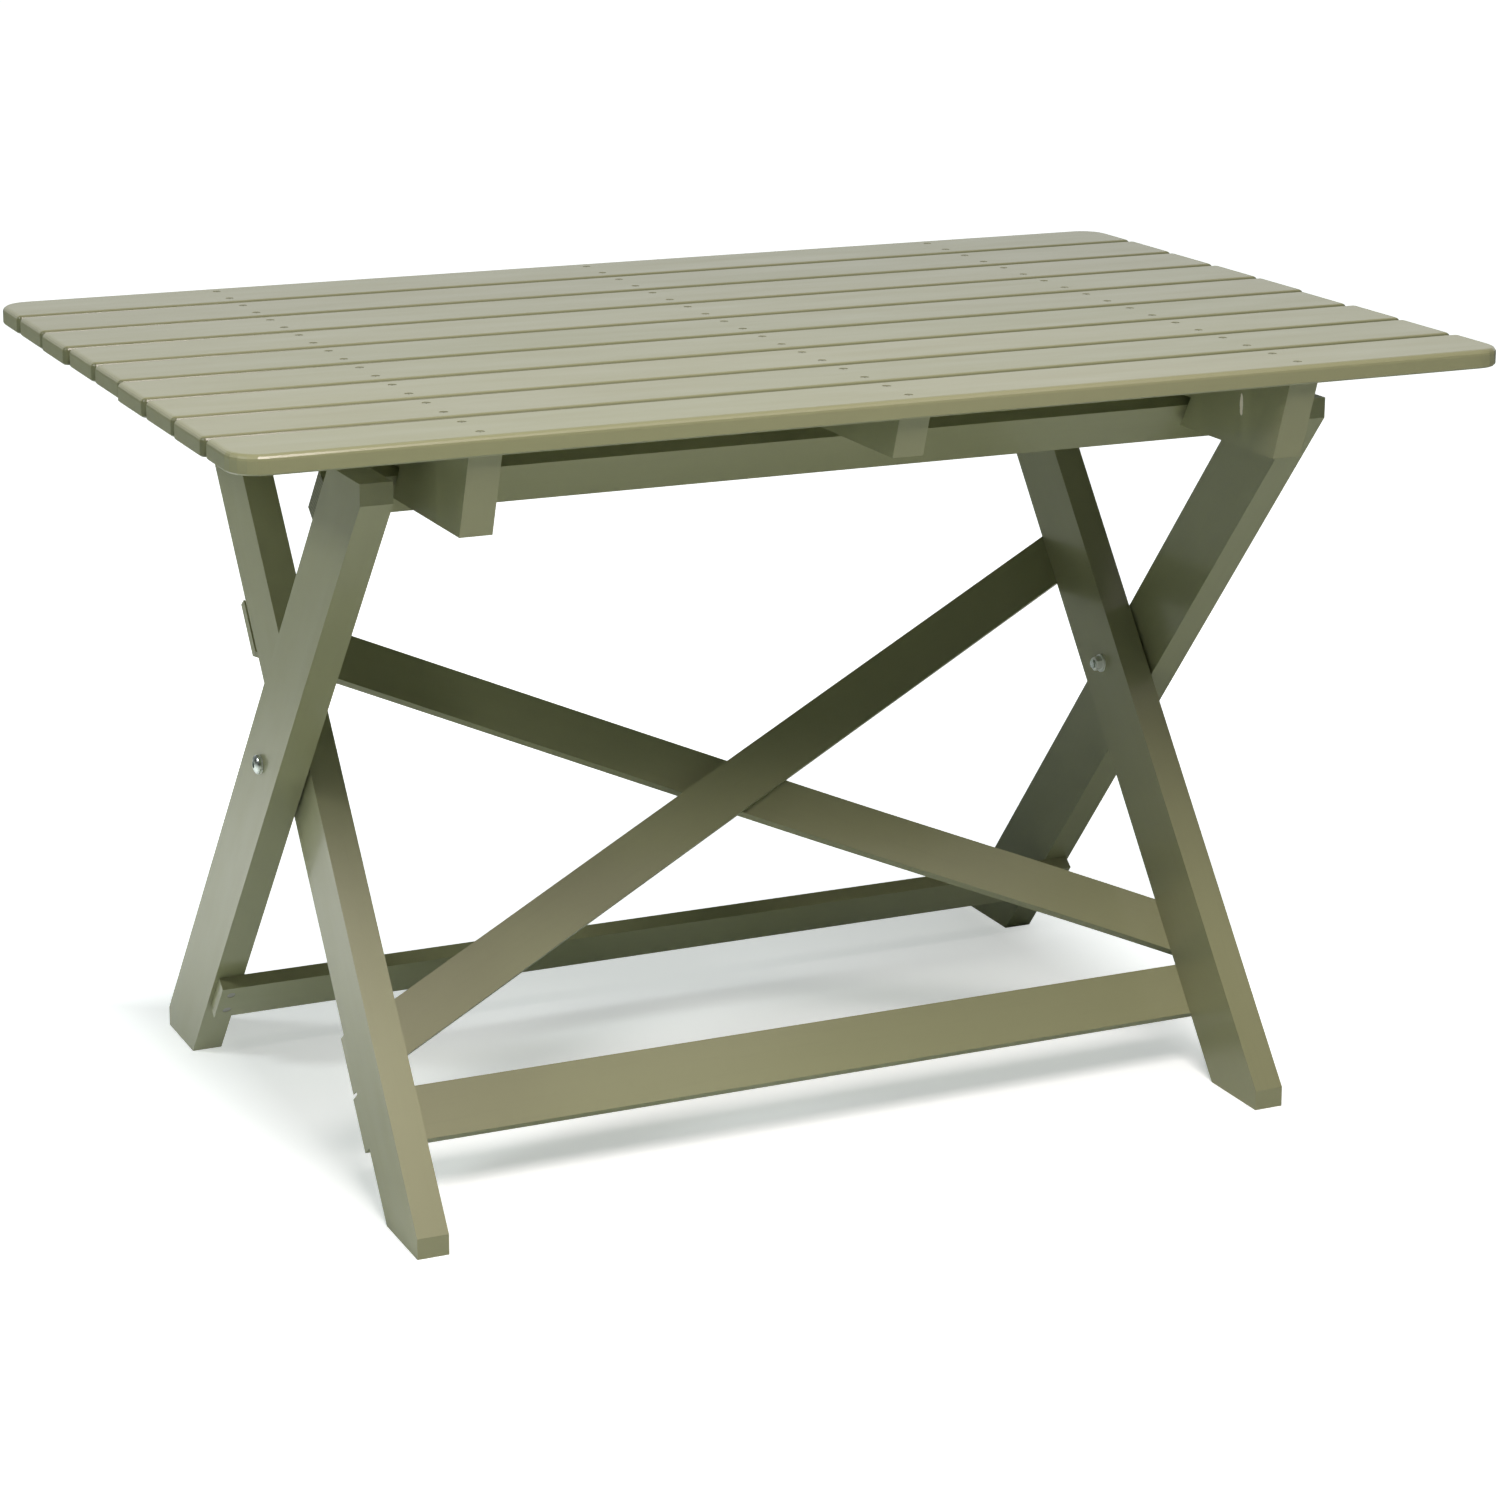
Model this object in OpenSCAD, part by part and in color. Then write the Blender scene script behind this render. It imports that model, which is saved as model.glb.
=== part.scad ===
// Folding picnic table: slatted top on two crossed leg frames. Millimetres.
// X runs along the slats, -Y is the front, Z = 0 is the floor.

/* [Tabletop] */
// Length of the slats
table_length = 1204; // [900:2:1600]
// Height of the top surface above the floor
table_height = 732; // [680:1:780]
// Number of slats
slat_count = 9; // [7:1:11]
// Width of one slat
slat_width = 81; // [60:1:100]
// Gap between two slats
slat_gap = 4; // [3:1:12]
// Slat thickness
slat_thick = 17; // [14:1:24]
// Round-over of the slats' top edges
slat_edge_r = 5; // [1:0.5:8]
// Rounding of the slats' upright corners
slat_corner_r = 6; // [5.5:0.5:10]
// How far each slat's left end falls short, rear slat first
short_left = [1.6, 1.8, 0.6, 3.4, 3.7, 0.2, 0.9, 0, 1.6]; // [0:0.1:8]
// How far each slat's right end falls short, rear slat first
short_right = [0.5, 0, 1, 0, 0, 5, 0.5, 2, 0]; // [0:0.1:8]
// Radius of the tabletop's four corners
corner_r = 28; // [5:1:38]

/* [Battens] */
// Batten thickness
batten_thick = 29; // [20:1:35]
// Depth of the two end battens
end_batten_depth = 73; // [50:1:80]
// Depth of the centre batten
centre_batten_depth = 37; // [25:1:43]
// Distance of the end battens' centre from the table's centre
end_batten_x = 388.5; // [360:0.5:420]
// Front end of an end batten, at its bottom edge
batten_front_low = 349; // [330:1:360]
// Set-back of the batten's slanted front end per millimetre of depth
batten_slant = 0.33; // [0:0.01:0.6]

/* [Legs] */
// Leg thickness
leg_thick = 29; // [20:1:35]
// Leg width
leg_width = 74; // [50:1:90]
// Lean of the inner legs from the vertical, degrees
lean_inner = 37.9; // [30:0.1:45]
// Lean of the outer legs from the vertical, degrees
lean_outer = 39; // [30:0.1:45]
// Outer face of the outer legs, from the table's centre
outer_face_x = 467; // [440:1:500]
// Gap between a leg and its neighbour, filled by a spacer washer
leg_gap = 3.2; // [2:0.1:8]
// Height of the leg pivot
pivot_z = 361; // [330:1:390]
// Distance of the leg pivot behind the table's centre
pivot_y = 2; // [-10:1:10]
// Height of the top hinge bolts
hinge_z = 677; // [660:1:690]
// Height of the outer legs' flat tops
outer_top_z = 680; // [670:1:700]
// Height of the upright chamfer at each foot
foot_chamfer = 19; // [5:1:30]

/* [Cross members] */
// Width of the stretchers and top rail
board_width = 50; // [35:1:60]
// Thickness of the stretchers and top rail
board_thick = 14; // [10:1:20]
// Width of the two diagonal braces
brace_width = 47.5; // [35:0.5:60]
// Thickness of the two diagonal braces
brace_thick = 10.5; // [8:0.5:16]
// Height of the inner stretcher's top front edge
inner_stretcher_z = 95.5; // [80:0.5:120]
// Height of the outer stretcher's top rear edge
outer_stretcher_z = 102.7; // [85:0.5:120]
// Height of the top rail's upper front edge
rail_z = 662.3; // [650:0.5:668]
// Angles of the front and rear brace from the horizontal, in their own plane
brace_angle = [26, 26.5]; // [20:0.1:32]
// Middle of the front and rear brace, measured down the leg from the pivot
brace_cross = [66, 63]; // [50:0.5:90]
// How far the front brace springs forwards where the two cross
brace_bow = 3.7; // [2:0.1:8]
// Space left between the rear brace's upper end and the leg
brace_stand_off = 5.3; // [0:0.1:8]

/* [Hardware] */
// Bolt shank radius
bolt_r = 4; // [3:0.5:5]
// Bolt head radius
bolt_head_r = 9; // [7:0.5:12]
// Washer radius
washer_r = 9; // [7:0.5:12]
// Radial clearance of the running fits
fit_gap = 0.06; // [0.02:0.01:0.1]
// Slat screw shank radius
screw_r = 1.8; // [1.5:0.1:2.5]
// Slat screw head radius
screw_head_r = 3.8; // [3:0.1:5]

/* [Hidden] */
$fn = 32;
slat_pitch = slat_width + slat_gap;
half_length = table_length / 2;
top_under = table_height - slat_thick;
slat_y = [for (i = [0 : slat_count - 1]) ((slat_count - 1) / 2 - i) * slat_pitch];
half_depth = slat_y[0] + slat_width / 2;

outer_leg_x = outer_face_x - leg_thick / 2;
inner_leg_x = outer_leg_x - leg_thick - leg_gap;
batten_outer_x = end_batten_x + batten_thick / 2;
batten_inner_x = end_batten_x - batten_thick / 2;
inner_leg_out = inner_leg_x + leg_thick / 2;
inner_leg_in = inner_leg_x - leg_thick / 2;
outer_leg_in = outer_leg_x - leg_thick / 2;

ti = tan(lean_inner);
to = tan(lean_outer);
half_i = leg_width / 2 / cos(lean_inner);
half_o = leg_width / 2 / cos(lean_outer);
hinge_y = pivot_y + ti * (hinge_z - pivot_z);
// Y of a leg's centre line, front edge and rear edge at height z
function inner_y(z) = pivot_y + ti * (z - pivot_z);
function outer_y(z) = pivot_y - to * (z - pivot_z);

// The notch that takes the top rail: front wall, ceiling and rear wall
notch_top = 671.6;
notch_low = top_under - end_batten_depth;
notch_front = [-187.5, -205];
notch_rear = [-153, -178];

stretcher_half = outer_face_x - 4;
brace_half = inner_leg_out;
screw_pitch = 42;
screw_sink = 0.4;
screw_len = 36;
frame_screw_r = 2;
frame_screw_head_r = 4;
frame_screw_len = 42;
frame_screw_step = 26;
brace_screw_step = 26;
head_h = 5;
washer_t = 1.6;
nut_af = 13;
nut_h = 6.5;

slat_colour = "#b3b09a";
frame_colour = "#a3a389";
steel_colour = "#c4c6c8";

// ---------- helpers ----------
// A quarter arc of points, centre c, radius r, from angle a by 90 degrees
function arc(c, r, a, n = 5) = [
    for (i = [0 : n]) [c[0] + r * cos(a + 90 * i / n), c[1] + r * sin(a + 90 * i / n)]
];

// Extrude a Y-Z outline along X, centred on x
module along_x(x, w) {
    translate([x - w / 2, 0, 0]) rotate([90, 0, 90]) linear_extrude(w) children();
}

// Axes of a leg frame: origin at the leg pivot, Z up the legs, Y out of their rear edge
module inner_axes() {
    translate([0, pivot_y, pivot_z]) rotate([-lean_inner, 0, 0]) children();
}
module outer_axes() {
    translate([0, pivot_y, pivot_z]) rotate([lean_outer, 0, 0]) children();
}

// A rod along +X from x0 to x1 at height z and depth y
module rod_x(x0, x1, y, z, r) {
    translate([x0, y, z]) rotate([0, 90, 0]) cylinder(r = r, h = x1 - x0);
}

// ---------- tabletop ----------
// Outline of slat i, drawn in by d all round
function slat_ring(i, d) =
    let (x0 = -half_length + short_left[i], x1 = half_length - short_right[i],
        y0 = slat_y[i] - slat_width / 2, y1 = slat_y[i] + slat_width / 2,
        rr = i == 0 ? corner_r : slat_corner_r, rf = i == slat_count - 1 ? corner_r : slat_corner_r)
    concat(arc([x1 - rr, y1 - rr], rr - d, 0), arc([x0 + rr, y1 - rr], rr - d, 90),
        arc([x0 + rf, y0 + rf], rf - d, 180), arc([x1 - rf, y0 + rf], rf - d, 270));

// A slat with all its edges rounded, built up from outlines at rising heights
module slat_blank(i) {
    r = slat_edge_r;
    b = 1.5;
    levels = concat([[b, top_under], [0, top_under + b]],
        [for (a = [0 : 22.5 : 90]) [r * (1 - cos(a)), table_height - r * (1 - sin(a))]]);
    n = len(slat_ring(i, 0));
    m = len(levels);
    polyhedron([for (l = levels, q = slat_ring(i, l[0])) [q[0], q[1], l[1]]],
        concat([[for (k = [0 : n - 1]) k]], [[for (k = [n - 1 : -1 : 0]) (m - 1) * n + k]],
            [for (j = [0 : m - 2], k = [0 : n - 1])
                [j * n + k, (j + 1) * n + k, (j + 1) * n + (k + 1) % n, j * n + (k + 1) % n]]));
}

// Countersunk screw hole or screw through a slat, head down from the top surface
module slat_screw_shape(gap) {
    top = table_height - screw_sink;
    cone_h = screw_head_r - screw_r;
    translate([0, 0, top - screw_len]) cylinder(r = screw_r + gap, h = screw_len - cone_h, $fn = 16);
    translate([0, 0, top - cone_h])
        cylinder(r1 = screw_r + gap, r2 = screw_head_r + gap, h = cone_h, $fn = 16);
    if (gap > 0) translate([0, 0, top]) cylinder(r = screw_head_r + gap, h = 2, $fn = 16);
    if (gap > 0) translate([0, 0, top - screw_len - 1]) cylinder(r = screw_r + gap, h = 2, $fn = 16);
}

module slat_screw_set(gap, ys) {
    for (x = [-end_batten_x, 0, end_batten_x], y = ys, s = [-1, 1])
        translate([x, y + s * screw_pitch / 2, 0]) slat_screw_shape(gap);
}

module slat(i) {
    color(slat_colour) difference() {
        slat_blank(i);
        slat_screw_set(fit_gap, [slat_y[i]]);
    }
}

module end_batten(x) {
    f = batten_front_low;
    g = f + batten_slant * end_batten_depth;
    color(frame_colour) difference() {
        along_x(x, batten_thick) difference() {
            polygon([[-f, notch_low], [f, notch_low], [g, top_under], [-g, top_under]]);
            polygon([[notch_front[0] + 5 * (notch_front[0] - notch_front[1]) / 30, notch_low - 5],
                [notch_front[1], notch_top], [notch_rear[1], notch_top],
                [notch_rear[0] + 5 * (notch_rear[0] - notch_rear[1]) / 30, notch_low - 5]]);
        }
        slat_screw_set(fit_gap, slat_y);
        rod_x(x - batten_thick, x + batten_thick, hinge_y, hinge_z, bolt_r + fit_gap);
    }
}

module centre_batten() {
    g = batten_front_low + batten_slant * end_batten_depth;
    f = g - batten_slant * centre_batten_depth;
    z = top_under - centre_batten_depth;
    color(frame_colour) difference() {
        along_x(0, batten_thick) polygon([[-f, z], [f, z], [g, top_under], [-g, top_under]]);
        slat_screw_set(fit_gap, slat_y);
    }
}

module slat_screws() {
    color(steel_colour) for (x = [-end_batten_x, 0, end_batten_x], y = slat_y, s = [-1, 1])
        translate([x, y + s * screw_pitch / 2, 0]) difference() {
            slat_screw_shape(0);
            translate([0, 0, table_height - screw_sink - 1.2]) cylinder(r = 1.1, h = 2, $fn = 4);
        }
}

// ---------- fasteners ----------
// Domed bolt from x0 (under the head) inwards; side is the sign of X
module bolt(side, x0, x1, y, z) {
    c = bolt_head_r;
    color(steel_colour) difference() {
        union() {
            rod_x(side > 0 ? x1 : -x0, side > 0 ? x0 : -x1, y, z, bolt_r);
            translate([side * x0, y, z]) rotate([0, side * 90, 0]) rotate_extrude($fn = 48)
                polygon(concat([[0, 0], [c, 0]],
                    [for (a = [10 : 16 : 90]) [c * cos(a), 1 + (head_h - 1) * sin(a)]]));
        }
        translate([side * (x0 + head_h - 3.2), y, z]) rotate([0, side * 90, 0])
            cylinder(r = 3.2, h = 5, $fn = 6);
    }
}

// Flat ring along X from x0 to x1
module ring_x(x0, x1, y, z, r, bore) {
    color(steel_colour) difference() {
        rod_x(x0, x1, y, z, r);
        rod_x(x0 - 1, x1 + 1, y, z, bore);
    }
}

module hex_nut(side, x1, y, z) {
    color(steel_colour) difference() {
        translate([side * x1 - nut_h / 2, y, z]) rotate([0, 90, 0]) intersection() {
            cylinder(r = nut_af / 2 / cos(30), h = nut_h, $fn = 6);
            translate([0, 0, nut_h / 2]) rotate_extrude($fn = 48)
                polygon([[0, -nut_h / 2], [nut_af / 2, -nut_h / 2], [nut_af / 2 + 1.1, -nut_h / 2 + 0.7],
                    [nut_af / 2 + 1.1, nut_h / 2 - 0.7], [nut_af / 2, nut_h / 2], [0, nut_h / 2]]);
        }
        rod_x(side * x1 - nut_h, side * x1 + nut_h, y, z, bolt_r + fit_gap);
    }
}

// Countersunk wood screw in a leg frame's own axes: head at n, driven along -dir
module frame_screw(x, n, s, dir, gap) {
    cone_h = frame_screw_head_r - frame_screw_r;
    translate([x, n, s]) rotate([dir * 90, 0, 0]) {
        translate([0, 0, cone_h])
            cylinder(r = frame_screw_r + gap, h = frame_screw_len - cone_h, $fn = 16);
        translate([0, 0, 0.3])
            cylinder(r1 = frame_screw_head_r + gap, r2 = frame_screw_r + gap, h = cone_h, $fn = 16);
        if (gap > 0) translate([0, 0, -1]) cylinder(r = frame_screw_head_r + gap, h = 1.3, $fn = 16);
        if (gap > 0) translate([0, 0, frame_screw_len - 1])
            cylinder(r = frame_screw_r + gap, h = 2, $fn = 16);
    }
}

// ---------- inner frame ----------
module inner_leg_shape() {
    foot_y = inner_y(0) - half_i + ti * foot_chamfer;
    nx = leg_width / 2 * cos(lean_inner);
    nz = leg_width / 2 * sin(lean_inner);
    difference() {
        union() {
            polygon([[foot_y, 0], [inner_y(0) + half_i, 0], [hinge_y + nx, hinge_z - nz],
                [hinge_y - nx, hinge_z + nz], [foot_y, foot_chamfer]]);
            translate([hinge_y, hinge_z]) circle(leg_width / 2, $fn = 96);
        }
        translate([hinge_y, hinge_z]) circle(bolt_r + fit_gap);
        translate([pivot_y, pivot_z]) circle(bolt_r + fit_gap);
    }
}

module inner_leg(side) {
    color(frame_colour) difference() {
        along_x(side * inner_leg_x, leg_thick) inner_leg_shape();
        inner_axes() inner_screw_set(fit_gap);
    }
}

// Height up the leg of a point on the inner legs' rear face at world height z
function inner_s(z) = (z - pivot_z + leg_width / 2 * sin(lean_inner)) / cos(lean_inner);
// Same for the outer legs' front face and rear face
function outer_front_s(z) = (z - pivot_z + leg_width / 2 * sin(lean_outer)) / cos(lean_outer);
function outer_rear_s(z) = (z - pivot_z - leg_width / 2 * sin(lean_outer)) / cos(lean_outer);

in_str_mid = inner_s(inner_stretcher_z) - board_width / 2;
out_str_mid = outer_front_s(outer_stretcher_z) - board_width / 2;
rail_mid = outer_rear_s(rail_z) - board_width / 2;

// Height up the leg of a brace's centre line at x; b is 0 for the front brace, 1 for the rear one
function brace_s(b, x) = (b == 0 ? 1 : -1) * x * tan(brace_angle[b]) - brace_cross[b];

module inner_screw_set(gap) {
    head_n = leg_width / 2 + board_thick;
    for (e = [-1, 1]) {
        for (d = [-1, 1])
            frame_screw(e * inner_leg_x, head_n, in_str_mid + d * frame_screw_step / 2, 1, gap);
        for (b = [0, 1], d = [-1, 1])
            frame_screw(e * inner_leg_x,
                leg_width / 2 + brace_thick + (b == 1 && e < 0 ? brace_stand_off : 0),
                brace_s(b, e * inner_leg_x) + d * brace_screw_step / 2, 1, gap);
    }
}

module inner_stretcher() {
    color(frame_colour) inner_axes() difference() {
        translate([-inner_leg_out, leg_width / 2, in_str_mid - board_width / 2])
            cube([2 * inner_leg_out, board_thick, board_width]);
        inner_screw_set(fit_gap);
    }
}

// Sprung brace: flat at its ends and flat where the two cross; lift is its distance from the
// legs' rear faces at the left end, the middle and the right end
function ease(t) = t <= 0 ? 0 : t >= 1 ? 1 : t * t * (3 - 2 * t);
flat_mid = 56;
flat_end = 438;
function brace_n(u, lift) = leg_width / 2 + lift[1]
    + (lift[u < 0 ? 0 : 2] - lift[1]) * ease((abs(u) - flat_mid) / (flat_end - flat_mid));

module brace(b, lift) {
    us = concat([-520], [for (i = [0 : 16]) -flat_end + i * (flat_end - flat_mid) / 16],
        [for (i = [0 : 16]) flat_mid + i * (flat_end - flat_mid) / 16], [520]);
    n = len(us) - 1;
    pts = concat([for (u = us) [u, brace_n(u, lift)]],
        [for (i = [n : -1 : 0]) [us[i], brace_n(us[i], lift) + brace_thick]]);
    color(frame_colour) inner_axes() difference() {
        intersection() {
            translate([0, 0, -brace_cross[b]]) rotate([0, b == 0 ? -brace_angle[0] : brace_angle[1], 0])
                translate([0, 0, -brace_width / 2]) linear_extrude(brace_width) polygon(pts);
            translate([-brace_half, 0, -500]) cube([2 * brace_half, 100, 1000]);
        }
        inner_screw_set(fit_gap);
    }
}

module inner_frame_screws() {
    color(steel_colour) inner_axes() inner_screw_set(0);
}

// ---------- outer frame ----------
module outer_leg_shape() {
    foot_y = outer_y(0) + half_o - to * foot_chamfer;
    top_front = outer_y(outer_top_z) - half_o + to * foot_chamfer;
    difference() {
        polygon([[outer_y(0) - half_o, 0], [foot_y, 0], [foot_y, foot_chamfer],
            [outer_y(outer_top_z) + half_o, outer_top_z], [top_front, outer_top_z],
            [top_front, outer_top_z - foot_chamfer]]);
        translate([pivot_y, pivot_z]) circle(bolt_r + fit_gap);
    }
}

module outer_screw_set(gap) {
    for (e = [-1, 1], d = [-1, 1]) {
        frame_screw(e * outer_leg_x, -leg_width / 2 - board_thick,
            out_str_mid + d * frame_screw_step / 2, -1, gap);
        frame_screw(e * outer_leg_x, leg_width / 2 + board_thick,
            rail_mid + d * frame_screw_step / 2, 1, gap);
    }
}

module outer_leg(side) {
    color(frame_colour) difference() {
        along_x(side * outer_leg_x, leg_thick) outer_leg_shape();
        outer_axes() outer_screw_set(fit_gap);
    }
}

module outer_stretcher() {
    color(frame_colour) outer_axes() difference() {
        translate([-stretcher_half, -leg_width / 2 - board_thick, out_str_mid - board_width / 2])
            cube([2 * stretcher_half, board_thick, board_width]);
        outer_screw_set(fit_gap);
    }
}

module outer_top_rail() {
    color(frame_colour) outer_axes() difference() {
        translate([-outer_face_x, leg_width / 2, rail_mid - board_width / 2])
            cube([2 * outer_face_x, board_thick, board_width]);
        outer_screw_set(fit_gap);
    }
}

module outer_frame_screws() {
    color(steel_colour) outer_axes() outer_screw_set(0);
}

// ---------- pivots ----------
module pivot_bolts() {
    for (side = [-1, 1])
        bolt(side, outer_face_x + washer_t + 0.3, inner_leg_in - washer_t - nut_h - 2.5, pivot_y, pivot_z);
}

module top_hinge_bolts() {
    for (side = [-1, 1])
        bolt(side, inner_leg_out + 0.1, batten_inner_x - washer_t - nut_h - 2.5, hinge_y, hinge_z);
}

module washer_pair(x0, x1, y, z, r) {
    ring_x(x0, x1, y, z, r, bolt_r + fit_gap);
    ring_x(-x1, -x0, y, z, r, bolt_r + fit_gap);
}

module pivot_washers() {
    washer_pair(inner_leg_in - washer_t - 0.05, inner_leg_in - 0.05, pivot_y, pivot_z, washer_r);
    washer_pair(outer_face_x + 0.2, outer_face_x + 0.2 + washer_t, pivot_y, pivot_z, washer_r - 0.5);
}

module pivot_spacers() {
    washer_pair(inner_leg_out + 0.1, outer_leg_in - 0.3, pivot_y, pivot_z, 13);
}

module pivot_nuts() {
    for (side = [-1, 1]) hex_nut(side, inner_leg_in - washer_t - 0.1 - nut_h / 2, pivot_y, pivot_z);
}

module top_hinge_washers() {
    washer_pair(batten_inner_x - washer_t - 0.3, batten_inner_x - 0.3, hinge_y, hinge_z, washer_r);
}

module top_hinge_spacers() {
    washer_pair(batten_outer_x + 0.3, inner_leg_in - 0.1, hinge_y, hinge_z, 13);
}

module top_hinge_nuts() {
    for (side = [-1, 1]) hex_nut(side, batten_inner_x - washer_t - 0.35 - nut_h / 2, hinge_y, hinge_z);
}

slat(0);  // slat_1
slat(1);  // slat_2
slat(2);  // slat_3
slat(3);  // slat_4
slat(4);  // slat_5
slat(5);  // slat_6
slat(6);  // slat_7
slat(7);  // slat_8
slat(8);  // slat_9
end_batten(-end_batten_x);  // end_batten_left
end_batten(end_batten_x);  // end_batten_right
centre_batten();
slat_screws();
inner_leg(-1);  // inner_leg_left
inner_leg(1);  // inner_leg_right
inner_stretcher();
brace(0, [0, -brace_bow, 0]);  // brace_front
brace(1, [brace_stand_off, brace_thick - brace_bow, 0]);  // brace_rear
inner_frame_screws();
top_hinge_bolts();
top_hinge_washers();
top_hinge_nuts();
top_hinge_spacers();
pivot_bolts();
pivot_washers();
pivot_nuts();
pivot_spacers();
outer_leg(-1);  // outer_leg_left
outer_leg(1);  // outer_leg_right
outer_stretcher();
outer_top_rail();
outer_frame_screws();
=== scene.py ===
"""Folding picnic table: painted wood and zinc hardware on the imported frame.

X runs along the slats, -Y is the front and Z is up. Lengths are in metres.
"""
import math

import bpy
from mathutils import Matrix, Vector

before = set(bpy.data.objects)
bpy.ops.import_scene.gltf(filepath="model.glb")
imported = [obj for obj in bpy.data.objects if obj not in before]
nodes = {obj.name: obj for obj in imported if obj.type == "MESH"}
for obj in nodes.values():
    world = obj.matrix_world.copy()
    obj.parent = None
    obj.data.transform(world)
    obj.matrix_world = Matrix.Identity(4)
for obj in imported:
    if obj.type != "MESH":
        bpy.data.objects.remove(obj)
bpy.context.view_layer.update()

# ---------- the boards ----------
SLAT_COUNT = 9
TOP_Z = 0.732
LEAN_INNER = math.radians(37.9)
LEAN_OUTER = math.radians(39.0)
BRACE_TILT = math.radians(26.25)
CHIP_AT = (0.374, -0.293, 0.681)

# ---------- colours ----------
PAINT = (0.275, 0.290, 0.160)
# Painted shade for the sides of the gaps between the slats.
GAP_PAINTED_SHADE = (0.42, 0.45, 0.40)
BARE_WOOD = (0.93, 0.88, 0.76)
ZINC_BRIGHT = (0.66, 0.73, 0.70)
# Pale zinc with painted sheen: a near-white colour stands in for the plating's bright
# reflection.
ZINC_PALE_PAINTED_SHEEN = (0.90, 0.95, 0.91)
ZINC_DULL = (0.36, 0.36, 0.33)
SPANGLE = (0.86, 0.88, 0.92)

# ---------- floor, sky and lights ----------
FLOOR_HALF = 30.0
FLOOR_BOUNCE = (0.71, 0.79, 0.74)
PAPER = (0.80, 0.85, 0.86)
PAPER_GLOW = (0.97, 1.0, 0.99)
FLOOR_LIFT = 0.43
WHITE_BESIDE = (0.42, 0.58)
WHITE_BEHIND = (0.34, 0.46)
WHITE_IN_FRONT = (-1.2, -0.6)
POOL_AT = (-1.05, 0.55, 0.0)
POOL_FADE = (0.30, 0.90)
POOL_GLOW = 0.9
SKY = ((0.0, 0.02), (0.35, 0.03), (0.70, 0.05), (1.0, 0.07))
BACKDROP = ((0.0, 0.70), (0.30, 0.86), (0.50, 0.30), (1.0, 0.10))
BACKDROP_TO = (0.41, 0.91, 0.0)
BACKDROP_FADE = (0.45, 0.85)
WHITE = (1.0, 1.0, 1.0)
WARM = (1.0, 0.89, 0.86)
LIGHTS_AIM = (0, 0, 0.4)
# name, side, place, watts, colour
LIGHTS = (
    ("key_front", 1.4, (-0.36, -1.60, 2.90), 86, WARM),
    ("soft_left", 0.9, (-4.045, 0.0, 3.340), 60, WHITE),
    ("fill_right", 1.4, (1.217, -1.217, 2.857), 6, WARM),
)

# ---------- camera ----------
CAMERA_AT = (-1.4663, -3.2267, 1.3725)
CAMERA_TURN = (-25.124, -13.135, 0.429)  # yaw, pitch and roll in degrees
CAMERA_SHIFT = (-0.0183, -0.1533)
SENSOR_MM = 36
LENS_MM = 92.5872


# ---------- node helpers ----------
class Graph:
    """A few short calls for building a node tree."""

    def __init__(self, tree):
        self.tree = tree
        self.tree.nodes.clear()

    def add(self, kind, **props):
        n = self.tree.nodes.new(kind)
        for k, v in props.items():
            setattr(n, k, v)
        return n

    def link(self, a, b):
        self.tree.links.new(a, b)

    def coords(self, kind="Object"):
        return self.add("ShaderNodeTexCoord").outputs[kind]

    def split(self, vec):
        n = self.add("ShaderNodeSeparateXYZ")
        self.link(vec, n.inputs[0])
        return n.outputs

    def stretch(self, vec, scale):
        n = self.add("ShaderNodeMapping", vector_type="TEXTURE")
        n.inputs["Scale"].default_value = scale
        self.link(vec, n.inputs["Vector"])
        return n.outputs[0]

    def noise(self, vec, scale, detail=3.0, rough=0.5):
        n = self.add("ShaderNodeTexNoise")
        n.inputs["Scale"].default_value = scale
        n.inputs["Detail"].default_value = detail
        n.inputs["Roughness"].default_value = rough
        self.link(vec, n.inputs["Vector"])
        return n.outputs["Fac"]

    def spread(self, fac, lo, hi, to_lo, to_hi, curve="LINEAR"):
        n = self.add("ShaderNodeMapRange", interpolation_type=curve)
        for i, v in enumerate((lo, hi, to_lo, to_hi)):
            n.inputs[i + 1].default_value = v
        self.link(fac, n.inputs[0])
        return n.outputs[0]

    def math(self, op, a, b=0.0):
        n = self.add("ShaderNodeMath", operation=op)
        for i, v in enumerate((a, b)):
            if isinstance(v, (int, float)):
                n.inputs[i].default_value = v
            else:
                self.link(v, n.inputs[i])
        return n.outputs[0]

    def vector(self, op, a, b=None, out="Value"):
        n = self.add("ShaderNodeVectorMath", operation=op)
        self.link(a, n.inputs[0])
        if b is not None:
            n.inputs[1].default_value = b
        return n.outputs[out]

    def mix(self, fac, a, b):
        n = self.add("ShaderNodeMix", data_type="RGBA")
        for sock, v in ((n.inputs[0], fac), (n.inputs[6], a), (n.inputs[7], b)):
            if isinstance(v, tuple):
                sock.default_value = (*v, 1)
            else:
                self.link(v, sock)
        return n.outputs[2]

    def mix_shader(self, fac, a, b):
        n = self.add("ShaderNodeMixShader")
        for i, v in enumerate((fac, a, b)):
            self.link(v, n.inputs[i])
        return n.outputs[0]

    def bump(self, height, strength, distance, normal=None):
        n = self.add("ShaderNodeBump")
        n.inputs["Strength"].default_value = strength
        n.inputs["Distance"].default_value = distance
        self.link(height, n.inputs["Height"])
        if normal is not None:
            self.link(normal, n.inputs["Normal"])
        return n.outputs[0]


class Material(Graph):
    """A material whose output is fed by one Principled shader."""

    def __init__(self, name):
        self.mat = bpy.data.materials.new(name)
        self.mat.use_nodes = True
        super().__init__(self.mat.node_tree)
        self.out = self.add("ShaderNodeOutputMaterial")
        self.bsdf = self.add("ShaderNodeBsdfPrincipled")
        self.link(self.bsdf.outputs[0], self.out.inputs[0])


# ---------- paint ----------
def tinted(tint, factors):
    """The paint's colour times a tint, with a factor for each channel."""
    return tuple(c * tint * k for c, k in zip(PAINT, factors))


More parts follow.
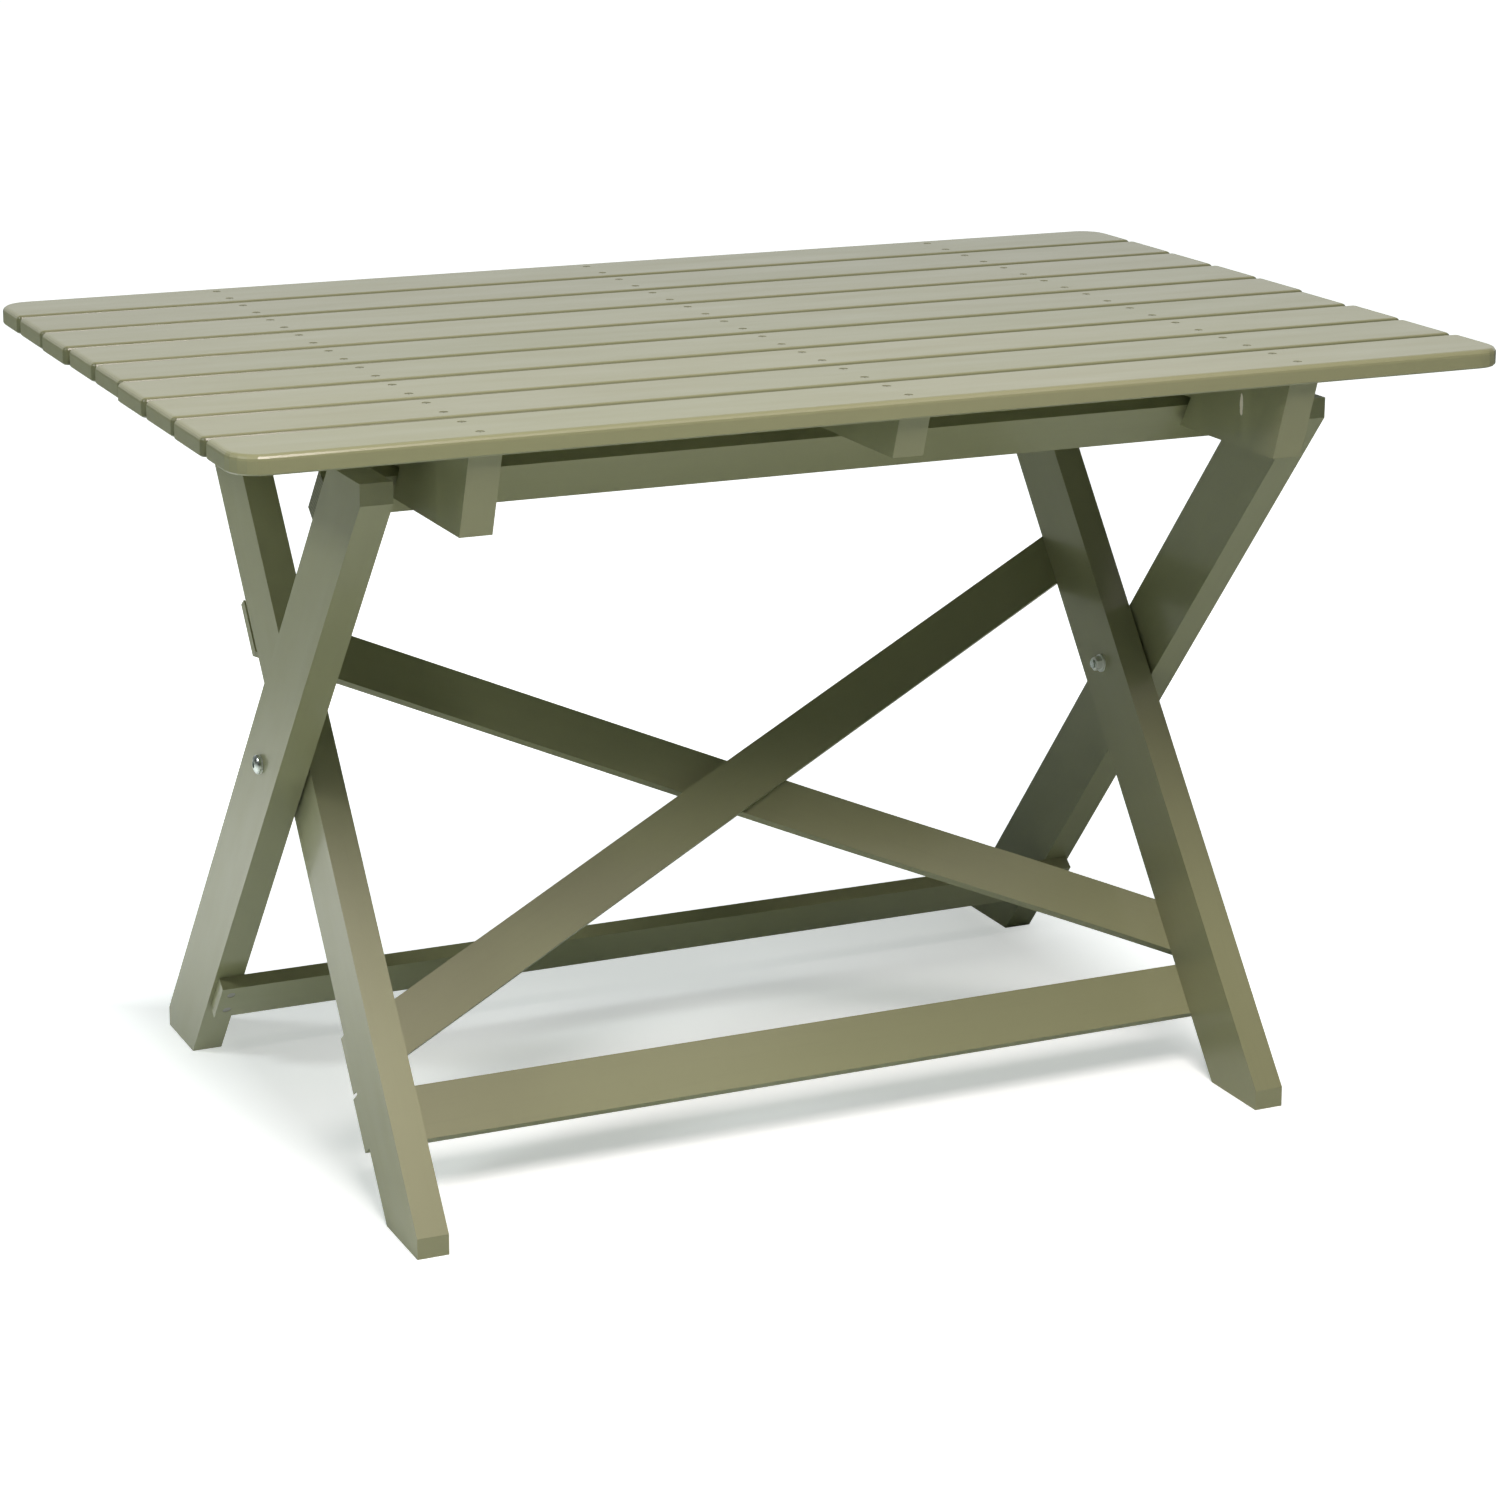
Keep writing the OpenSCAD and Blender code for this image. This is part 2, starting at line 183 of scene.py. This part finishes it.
def board_coords(g, direction, seed):
    """Object coordinates turned so that X runs along the board, moved by the board's seed."""
    turn = Vector(direction).normalized().to_track_quat("X", "Z").inverted().to_euler()
    m = g.add("ShaderNodeMapping")
    m.inputs["Rotation"].default_value = turn
    m.inputs["Location"].default_value = (seed * 3.7, seed * 1.9, seed * 2.3)
    g.link(g.coords(), m.inputs["Vector"])
    return m.outputs[0]


def paint_gap_shade(g, col, below):
    """Painted shade on the sides that face +Y or -Y, below a height: a darker colour. The ends
    keep the paint.
    """
    facing = g.math("ABSOLUTE", g.split(g.coords("Normal"))[1])
    side = g.spread(facing, 0.05, 0.4, 0.0, 1.0)
    down = g.spread(g.split(g.coords())[2], below - 0.0014, below, 0.95, 0.0)
    return g.mix(g.math("MULTIPLY", side, down), col, tinted(1.0, GAP_PAINTED_SHADE))


def chip_paint(g, col, centre):
    """Bare wood in a ragged patch some 6 mm wide and three times as tall."""
    off = g.vector("SUBTRACT", g.coords(), centre, "Vector")
    size = g.vector("LENGTH", g.stretch(off, (1.0, 0.8, 3.0)))
    torn = g.math("ADD", size, g.math("MULTIPLY", g.noise(g.coords(), 260, 3), 0.003))
    return g.mix(g.spread(torn, 0.0046, 0.0052, 1.0, 0.0), col, BARE_WOOD)


def saw_ends(g, col, rough):
    """Dark, rough growth rings on the faces square to X."""
    facing = g.math("ABSOLUTE", g.split(g.coords("Normal"))[0])
    sawn = g.spread(facing, 0.9, 0.97, 0.0, 1.0)
    rings = g.add("ShaderNodeTexWave", wave_type="RINGS", rings_direction="X")
    rings.inputs["Scale"].default_value = 95
    rings.inputs["Distortion"].default_value = 2.5
    g.link(g.coords(), rings.inputs["Vector"])
    cut = g.mix(rings.outputs["Fac"], tinted(1.0, (0.42,) * 3), tinted(1.0, (0.68,) * 3))
    return g.mix(sawn, col, cut), g.math("ADD", rough, g.math("MULTIPLY", sawn, 0.4))


def painted_board(name, direction, seed, tint=1.0, ends=False, gap_z=None, chip=None):
    """Satin paint over planed softwood: faint raised grain and a slow colour drift.

    With ends, the faces square to X show sawn end grain. With gap_z, the long sides below that
    height get painted shade, so that the gaps read as dark lines. With chip, bare wood shows at
    that point.
    """
    g = Material(name)
    vec = board_coords(g, direction, seed)
    grain = g.noise(g.stretch(vec, (16.0, 1.0, 1.0)), 230, 5, 0.6)
    figure = g.noise(g.stretch(vec, (10.0, 1.0, 1.0)), 30, 3, 0.55)
    cloud = g.noise(g.stretch(vec, (3.0, 1.0, 1.0)), 4.0, 2)
    peel = g.noise(vec, 1100, 2)
    satin = g.noise(g.stretch(vec, (5.0, 1.0, 1.0)), 34, 3)

    dark, light = tinted(tint, (0.965, 0.975, 0.95)), tinted(tint, (1.04, 1.02, 1.05))
    col = g.mix(g.spread(cloud, 0.3, 0.7, 0, 1), dark, light)
    col = g.mix(g.spread(figure, 0.40, 0.75, 0.0, 0.06), col, tinted(tint, (0.70,) * 3))
    col = g.mix(g.spread(grain, 0.55, 0.72, 0.0, 0.05), col, tinted(tint, (0.55,) * 3))
    rough = g.spread(satin, 0.25, 0.75, 0.33, 0.43)
    # Painted shade: the long sides below gap_z are darkened so that the gaps read as dark lines.
    if gap_z:
        col = paint_gap_shade(g, col, gap_z)
    if chip:
        col = chip_paint(g, col, chip)
    if ends:
        col, rough = saw_ends(g, col, rough)

    g.link(col, g.bsdf.inputs["Base Color"])
    g.link(rough, g.bsdf.inputs["Roughness"])
    g.bsdf.inputs["Specular IOR Level"].default_value = 0.45
    g.bsdf.inputs["Coat Weight"].default_value = 0.45
    g.bsdf.inputs["Coat Roughness"].default_value = 0.12
    height = g.math("ADD", g.math("MULTIPLY", grain, 0.5), g.math("MULTIPLY", figure, 0.6))
    normal = g.bump(peel, 0.04, 0.0002, g.bump(height, 0.15, 0.0004))
    g.link(normal, g.bsdf.inputs["Normal"])
    return g.mat


# ---------- metal ----------
def zinc(name, base, rough_lo, rough_hi, metal=1.0):
    """Zinc plating with a fine spangle."""
    g = Material(name)
    spangle = g.noise(g.coords(), 420, 4, 0.6)
    cloud = g.noise(g.coords(), 70, 3)
    col = g.mix(g.spread(cloud, 0.3, 0.7, 0, 1), tuple(c * 0.82 for c in base), base)
    col = g.mix(g.spread(spangle, 0.55, 0.75, 0, 0.35), col, SPANGLE)
    g.link(col, g.bsdf.inputs["Base Color"])
    g.bsdf.inputs["Metallic"].default_value = metal
    g.link(g.spread(spangle, 0.3, 0.7, rough_lo, rough_hi), g.bsdf.inputs["Roughness"])
    g.link(g.bump(spangle, 0.15, 0.0002), g.bsdf.inputs["Normal"])
    return g.mat


# ---------- materials on the CAD nodes ----------
def dress(node, mat, bevel=None, segments=3, angle=35):
    """Put a material on a node, and round its edges by a bevel in metres."""
    ob = nodes[node]
    for s in ob.material_slots:
        s.material = mat
    if bevel:
        b = ob.modifiers.new("edges", "BEVEL")
        b.width = bevel
        b.segments = segments
        b.limit_method = "ANGLE"
        b.angle_limit = math.radians(angle)
        b.harden_normals = True


def lean(angle, sign):
    """The direction up a leg, leaning to the rear with sign 1 and to the front with -1."""
    return (0.0, sign * math.sin(angle), math.cos(angle))


def brace_dir(sign):
    """The direction along a brace, rising to the right with sign 1 and falling with -1."""
    up = Vector(lean(LEAN_INNER, 1))
    return Vector((math.cos(BRACE_TILT), 0, 0)) + sign * math.sin(BRACE_TILT) * up


for i in range(1, SLAT_COUNT + 1):
    # The front slat's long side is the table's front edge, so it gets no painted shade.
    painted_shade_below = TOP_Z - 0.0001 if i < SLAT_COUNT else None
    tint = 1 + 0.02 * math.sin(i * 2.1)
    paint = painted_board(f"paint_slat_{i}", (1, 0, 0), i, tint, gap_z=painted_shade_below)
    dress(f"slat_{i}", paint, 0.0012, 2, 50)
for i, n in enumerate(("end_batten_left", "end_batten_right", "centre_batten")):
    chip = CHIP_AT if n == "end_batten_right" else None
    dress(n, painted_board(f"paint_{n}", (0, 1, 0), 12 + i, chip=chip), 0.003)
for i, n in enumerate(("inner_leg_left", "inner_leg_right")):
    dress(n, painted_board(f"paint_{n}", lean(LEAN_INNER, 1), 16 + i), 0.004)
for i, n in enumerate(("outer_leg_left", "outer_leg_right")):
    dress(n, painted_board(f"paint_{n}", lean(LEAN_OUTER, -1), 19 + i), 0.004)
for i, n in enumerate(("inner_stretcher", "outer_stretcher", "outer_top_rail")):
    dress(n, painted_board(f"paint_{n}", (1, 0, 0), 22 + i, ends=n == "outer_top_rail"), 0.003)
for n, sign, seed in (("brace_front", 1, 26), ("brace_rear", -1, 27)):
    dress(n, painted_board(f"paint_{n}", brace_dir(sign), seed), 0.0035, 3, 60)

bright = zinc("zinc_bright", ZINC_BRIGHT, 0.22, 0.38)
# Washers and nuts: barely metallic, near-white zinc whose colour carries painted sheen in place
# of a reflection.
pale_painted_sheen = zinc("zinc_pale_painted_sheen", ZINC_PALE_PAINTED_SHEEN, 0.25, 0.40, 0.1)
dull = zinc("zinc_dull", ZINC_DULL, 0.38, 0.55)
for place in ("pivot", "top_hinge"):
    for kind, mat in (("bolts", bright), ("washers", pale_painted_sheen), ("nuts", pale_painted_sheen), ("spacers", bright)):
        dress(f"{place}_{kind}", mat, 0.0004, 2, 40)
dress("slat_screws", painted_board("paint_slat_screws", (0, 1, 0), 31, 0.62))
for n in ("inner_frame_screws", "outer_frame_screws"):
    dress(n, dull)


# ---------- stage ----------
def floor():
    """Pale floor. The camera sees paper, and the table gets a greyer bounce.

    The paper glows: near the table a faint glow paints light into the floor's shadow, and the
    glow lifts to plain white beside, behind and well in front of the table. A pool at the rear
    left glows on the table, and the camera doesn't see it.
    """
    me = bpy.data.meshes.new("floor")
    s = FLOOR_HALF
    me.from_pydata([(-s, -s, 0), (s, -s, 0), (s, s, 0), (-s, s, 0)], [], [(0, 1, 2, 3)])
    ob = bpy.data.objects.new("floor", me)
    bpy.context.collection.objects.link(ob)

    g = Material("floor_white")
    at = g.coords()
    x, y, _ = g.split(at)
    bounce = g.bsdf.inputs
    g.link(g.spread(g.noise(at, 3, 2), 0.3, 0.7, 0.86, 0.90), bounce["Roughness"])
    bounce["Base Color"].default_value = (*FLOOR_BOUNCE, 1)
    bounce["Specular IOR Level"].default_value = 0.0
    bounce["Emission Color"].default_value = (*WHITE, 1)
    pool = g.vector("DISTANCE", at, POOL_AT)
    g.link(g.spread(pool, *POOL_FADE, POOL_GLOW, 0.0), bounce["Emission Strength"])

    # Painted light on the paper: a faint glow lightens the shadow near the table, and a full
    # glow makes plain white further out.
    white = g.spread(g.math("ABSOLUTE", x), *WHITE_BESIDE, 0, 1)
    white = g.math("MAXIMUM", white, g.spread(y, *WHITE_BEHIND, 0, 1))
    white = g.math("MAXIMUM", white, g.spread(y, *WHITE_IN_FRONT, 1, 0))
    paper = g.add("ShaderNodeBsdfPrincipled")
    paper.inputs["Base Color"].default_value = (*PAPER, 1)
    paper.inputs["Roughness"].default_value = 1.0
    paper.inputs["Specular IOR Level"].default_value = 0.0
    paper.inputs["Emission Color"].default_value = (*PAPER_GLOW, 1)
    g.link(g.spread(white, 0, 1, FLOOR_LIFT, 1.0), paper.inputs["Emission Strength"])

    seen = g.add("ShaderNodeLightPath").outputs["Is Camera Ray"]
    g.link(g.mix_shader(seen, g.bsdf.outputs[0], paper.outputs[0]), g.out.inputs[0])
    me.materials.append(g.mat)


def area(name, side, loc, watts, colour):
    """A square area light aimed at the middle of the table."""
    li = bpy.data.lights.new(name, "AREA")
    li.shape = "RECTANGLE"
    li.size = side
    li.size_y = side
    li.energy = watts
    li.color = colour
    ob = bpy.data.objects.new(name, li)
    ob.location = loc
    ob.rotation_euler = (Vector(LIGHTS_AIM) - Vector(loc)).to_track_quat("-Z", "Y").to_euler()
    bpy.context.collection.objects.link(ob)


def dome():
    """White to the camera. For the table it is dim all round, with a bright backdrop behind."""
    world = bpy.data.worlds.new("studio")
    bpy.context.scene.world = world
    world.use_nodes = True
    g = Graph(world.node_tree)
    way = g.coords("Generated")
    by_height = []
    for stops in (SKY, BACKDROP):
        ramp = g.add("ShaderNodeValToRGB")
        for _ in range(len(stops) - 2):
            ramp.color_ramp.elements.new(0.5)
        for e, (pos, v) in zip(ramp.color_ramp.elements, stops):
            e.position = pos
            e.color = (v * 0.97, v, v, 1)
        g.link(g.split(way)[2], ramp.inputs[0])
        by_height.append(ramp.outputs[0])
    toward = g.vector("DOT_PRODUCT", way, BACKDROP_TO)
    behind = g.spread(toward, *BACKDROP_FADE, 0, 1, "SMOOTHSTEP")
    sky, white = (g.add("ShaderNodeBackground") for _ in range(2))
    g.link(g.mix(behind, *by_height), sky.inputs[0])
    white.inputs[0].default_value = (*WHITE, 1)
    seen = g.add("ShaderNodeLightPath").outputs["Is Camera Ray"]
    out = g.add("ShaderNodeOutputWorld")
    g.link(g.mix_shader(seen, sky.outputs[0], white.outputs[0]), out.inputs[0])


def camera():
    """The camera at the photograph's viewing angle."""
    data = bpy.data.cameras.new("camera")
    cam = bpy.data.objects.new("camera", data)
    bpy.context.collection.objects.link(cam)
    yaw, pitch, roll = (math.radians(a) for a in CAMERA_TURN)
    level = math.cos(pitch)
    forward = Vector((math.sin(-yaw) * level, math.cos(yaw) * level, math.sin(pitch)))
    right = forward.cross(Vector((0, 0, 1))).normalized()
    up = right.cross(forward)
    cos, sin = math.cos(roll), math.sin(roll)
    right, up = right * cos + up * sin, up * cos - right * sin
    rot = Matrix((right, up, -forward)).transposed().to_4x4()
    cam.matrix_world = Matrix.Translation(CAMERA_AT) @ rot
    data.sensor_width = SENSOR_MM
    data.lens = LENS_MM
    data.shift_x, data.shift_y = CAMERA_SHIFT
    data.clip_end = 100
    bpy.context.scene.camera = cam


floor()
dome()
for light in LIGHTS:
    area(*light)
camera()
bpy.context.scene.view_settings.view_transform = "Standard"
bpy.context.scene.view_settings.look = "None"
